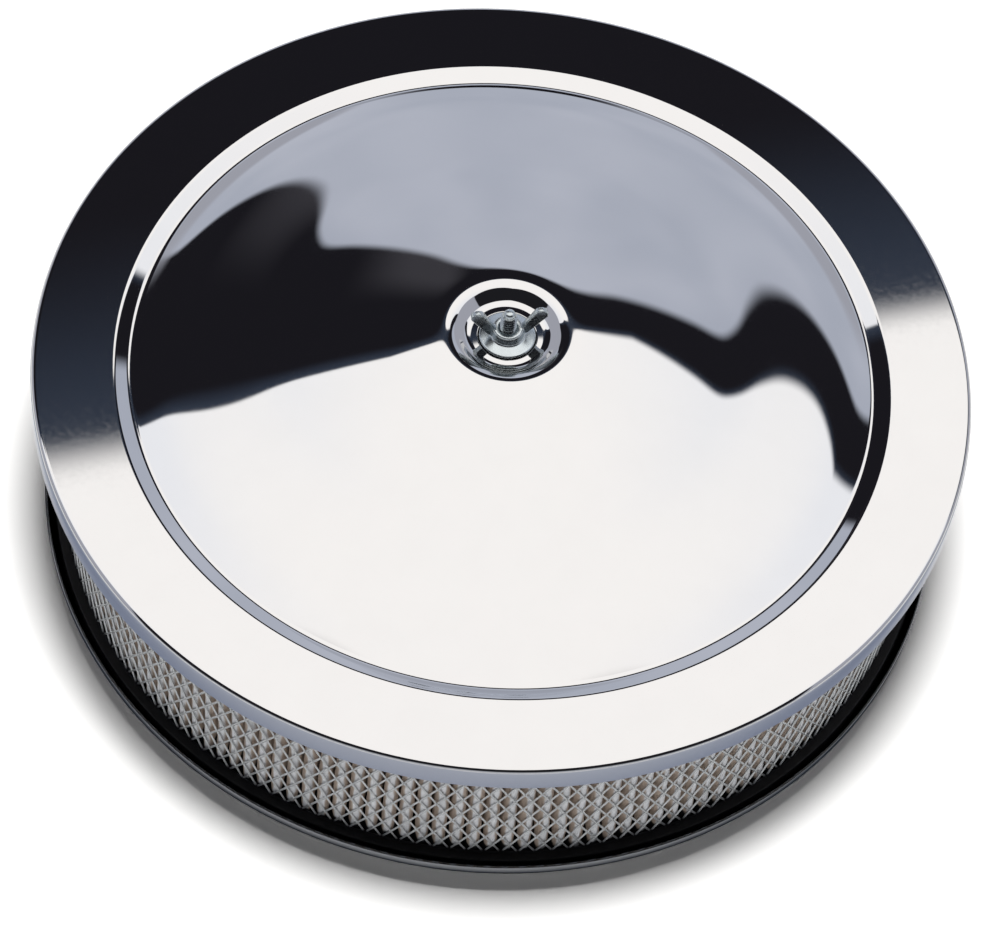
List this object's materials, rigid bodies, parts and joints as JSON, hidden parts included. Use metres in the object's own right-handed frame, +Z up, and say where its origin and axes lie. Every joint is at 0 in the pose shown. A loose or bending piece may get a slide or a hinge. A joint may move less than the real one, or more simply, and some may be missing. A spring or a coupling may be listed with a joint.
{
  "type": "carburetor air cleaner",
  "caption": "Round low air cleaner: a plated domed lid with a wing nut clamps a pleated paper filter ring, wrapped in expanded metal, onto a base pan with a carburetor neck.",
  "frame": {"origin": "on the neck axis, in the plane of the neck gasket's underside, which the cleaner stands on", "axes": "+Z up along the neck and the stud; -Y is the side that faces the picture's camera"},
  "size_m": [0.3556, 0.3556, 0.1331],
  "materials": {
    "chrome": "bright decorative chrome plate on pressed steel, near mirror",
    "zinc_plate": "bright zinc plate, soft metallic gloss",
    "black_rubber": "moulded black rubber, satin",
    "filter_paper": "cream pleated filter paper, matt",
    "expanded_metal": "light grey plated expanded steel mesh",
    "gasket": "matt black gasket"
  },
  "bodies": {
    "cleaner": {"lid": "chrome", "center_stud": "zinc_plate", "top_seal": "black_rubber", "pleated_paper": "filter_paper", "outer_screen": "expanded_metal", "inner_screen": "expanded_metal", "bottom_seal": "black_rubber", "base_pan": "chrome", "breather_plug": "black_rubber", "neck_gasket": "gasket"},
    "nut_washer": {"nut_seal_washer": "black_rubber"},
    "nut": {"wing_nut": "zinc_plate"}
  },
  "joints": [
    {"name": "nut_lift", "type": "slide", "parent": "cleaner", "child": "nut_washer", "axis": [0, 0, 1], "range_m": [0, 0.01396]},
    {"name": "nut_turn", "type": "hinge", "parent": "nut_washer", "child": "nut", "pos_m": [0, 0, 0.117], "axis": [0, 0, 1], "range_deg": [0, 3960]}
  ],
  "couplings": [
    {"joint": "nut_turn", "follows": "nut_lift", "rad_per_m": 4947.4}
  ]
}
